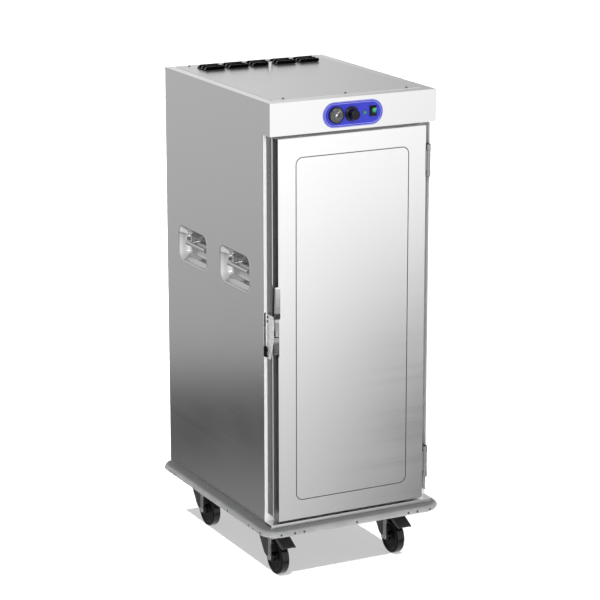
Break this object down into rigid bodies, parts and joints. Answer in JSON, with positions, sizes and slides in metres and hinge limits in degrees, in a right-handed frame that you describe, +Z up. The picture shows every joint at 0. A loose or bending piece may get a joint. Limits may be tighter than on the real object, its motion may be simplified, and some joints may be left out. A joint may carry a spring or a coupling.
{
  "type": "enclosed meal tray cart",
  "caption": "Insulated stainless tray cart: hinged door on a tall chamber with tray runners, control header, side hand grips, wrap-round bumper and braked swivel casters.",
  "frame": {"origin": "on the floor under the middle of the cart's overall outline", "axes": "+Z up, -Y is the door side, +X is the hinge side as seen from the front"},
  "size_m": [0.688, 0.888, 1.6872],
  "materials": {
    "stainless_panel": "brushed stainless sheet",
    "stainless_door": "brushed stainless sheet",
    "stainless_liner": "brushed stainless sheet",
    "chassis_steel": "dull stainless channel",
    "bright_steel": "polished steel",
    "zinc_steel": "zinc plated pressings",
    "dark_steel": "dark coated steel",
    "mineral_wool": "mineral wool batts",
    "blue_foil": "blue printed foil panel",
    "black_plastic": "black moulded plastic",
    "matt_black_plastic": "black moulded plastic",
    "grey_bumper": "grey moulded vinyl",
    "black_rubber": "black rubber",
    "wheel_rubber": "black resilient tread",
    "clear_lens": "clear window",
    "white_pointer": "white painted pointer",
    "green_lens": "translucent green",
    "ceramic_beige": "moulded switch body",
    "aluminium_frame": "extruded aluminium",
    "motor_steel": "coated motor shell"
  },
  "bodies": {
    "cart": {"base_frame": "chassis_steel", "front_sill": "stainless_panel", "side_panels": "stainless_panel", "back_panel": "stainless_panel", "inner_liner": "stainless_liner", "insulation": "mineral_wool", "front_frame": "stainless_panel", "door_guards": "zinc_steel", "header_box": "stainless_panel", "top_cover": "stainless_panel", "vent_louvres": "dark_steel", "vent_pipe": "bright_steel", "body_screws": "bright_steel", "control_fascia": "blue_foil", "thermometer_case": "black_plastic", "thermometer_lens": "clear_lens", "thermostat_body": "ceramic_beige", "indicator_lamp": "green_lens", "rocker_housing": "matt_black_plastic", "fan_motor": "motor_steel", "heater_element": "dark_steel", "ceiling_baffle": "stainless_liner", "rack_uprights": "aluminium_frame", "tray_runners": "aluminium_frame", "handle_cups": "stainless_panel", "grip_bars": "bright_steel", "hinge_frame_leaves": "bright_steel", "hinge_pins": "bright_steel", "latch_keeper": "zinc_steel", "latch_buffer": "black_rubber", "bumper_corners": "grey_bumper", "bumper_rails": "grey_bumper", "caster_plates": "zinc_steel", "power_inlet": "black_plastic"},
    "door": {"door_skin": "stainless_door", "door_insulation": "mineral_wool", "door_inner_pan": "stainless_liner", "door_gasket": "black_rubber", "hinge_door_leaves": "bright_steel", "latch_housing": "bright_steel"},
    "latch_lever": {"latch_lever": "bright_steel"},
    "thermometer_pointer": {"thermometer_pointer": "white_pointer"},
    "thermostat_knob": {"thermostat_knob": "black_plastic"},
    "rocker": {"rocker": "green_lens"},
    "fan_wheel": {"fan_wheel": "aluminium_frame"},
    "water_pan": {"water_pan": "stainless_liner"},
    "caster_front_left": {"fork_front_left": "zinc_steel", "axle_front_left": "bright_steel"},
    "wheel_front_left": {"wheel_front_left": "wheel_rubber"},
    "caster_front_right": {"fork_front_right": "zinc_steel", "axle_front_right": "bright_steel"},
    "wheel_front_right": {"wheel_front_right": "wheel_rubber"},
    "caster_rear_left": {"fork_rear_left": "zinc_steel", "axle_rear_left": "bright_steel"},
    "wheel_rear_left": {"wheel_rear_left": "wheel_rubber"},
    "caster_rear_right": {"fork_rear_right": "zinc_steel", "axle_rear_right": "bright_steel"},
    "wheel_rear_right": {"wheel_rear_right": "wheel_rubber"},
    "pedal_front_left": {"pedal_front_left": "matt_black_plastic"},
    "pedal_front_right": {"pedal_front_right": "matt_black_plastic"}
  },
  "joints": [
    {"name": "door_hinge", "type": "hinge", "parent": "cart", "child": "door", "pos_m": [0.2855, -0.4065, 0.88475], "axis": [0, 0, 1], "range_deg": [0, 180]},
    {"name": "latch_lever_pivot", "type": "hinge", "parent": "door", "child": "latch_lever", "pos_m": [-0.285, -0.3965, 0.913], "axis": [1, 0, 0], "range_deg": [0, 60]},
    {"name": "thermometer_pointer_turn", "type": "hinge", "parent": "cart", "child": "thermometer_pointer", "pos_m": [-0.069, -0.415, 1.6045], "axis": [0, -1, 0], "range_deg": [-90, 170]},
    {"name": "thermostat_knob_turn", "type": "hinge", "parent": "cart", "child": "thermostat_knob", "pos_m": [-0.011, -0.415, 1.6045], "axis": [0, 1, 0], "range_deg": [0, 270]},
    {"name": "rocker_tilt", "type": "hinge", "parent": "cart", "child": "rocker", "pos_m": [0.069, -0.4112, 1.608], "axis": [-1, 0, 0], "range_deg": [0, 28]},
    {"name": "fan_spin", "type": "hinge", "parent": "cart", "child": "fan_wheel", "pos_m": [0, 0.00175, 1.481], "axis": [0, 0, 1], "continuous": true},
    {"name": "water_pan_slide", "type": "slide", "parent": "cart", "child": "water_pan", "axis": [0, -1, 0], "range_m": [0, 0.25]},
    {"name": "swivel_front_left", "type": "hinge", "parent": "cart", "child": "caster_front_left", "pos_m": [-0.226, -0.25, 0.16], "axis": [0, 0, 1], "continuous": true},
    {"name": "spin_front_left", "type": "hinge", "parent": "caster_front_left", "child": "wheel_front_left", "pos_m": [-0.226, -0.29, 0.0625], "axis": [1, 0, 0], "continuous": true},
    {"name": "swivel_front_right", "type": "hinge", "parent": "cart", "child": "caster_front_right", "pos_m": [0.226, -0.25, 0.16], "axis": [0, 0, 1], "continuous": true},
    {"name": "spin_front_right", "type": "hinge", "parent": "caster_front_right", "child": "wheel_front_right", "pos_m": [0.226, -0.29, 0.0625], "axis": [1, 0, 0], "continuous": true},
    {"name": "swivel_rear_left", "type": "hinge", "parent": "cart", "child": "caster_rear_left", "pos_m": [-0.226, 0.298, 0.16], "axis": [0, 0, 1], "continuous": true},
    {"name": "spin_rear_left", "type": "hinge", "parent": "caster_rear_left", "child": "wheel_rear_left", "pos_m": [-0.226, 0.258, 0.0625], "axis": [1, 0, 0], "continuous": true},
    {"name": "swivel_rear_right", "type": "hinge", "parent": "cart", "child": "caster_rear_right", "pos_m": [0.226, 0.298, 0.16], "axis": [0, 0, 1], "continuous": true},
    {"name": "spin_rear_right", "type": "hinge", "parent": "caster_rear_right", "child": "wheel_rear_right", "pos_m": [0.226, 0.258, 0.0625], "axis": [1, 0, 0], "continuous": true},
    {"name": "brake_front_left", "type": "hinge", "parent": "caster_front_left", "child": "pedal_front_left", "pos_m": [-0.226, -0.312, 0.142], "axis": [1, 0, 0], "range_deg": [0, 12]},
    {"name": "brake_front_right", "type": "hinge", "parent": "caster_front_right", "child": "pedal_front_right", "pos_m": [0.226, -0.312, 0.142], "axis": [1, 0, 0], "range_deg": [0, 12]}
  ]
}
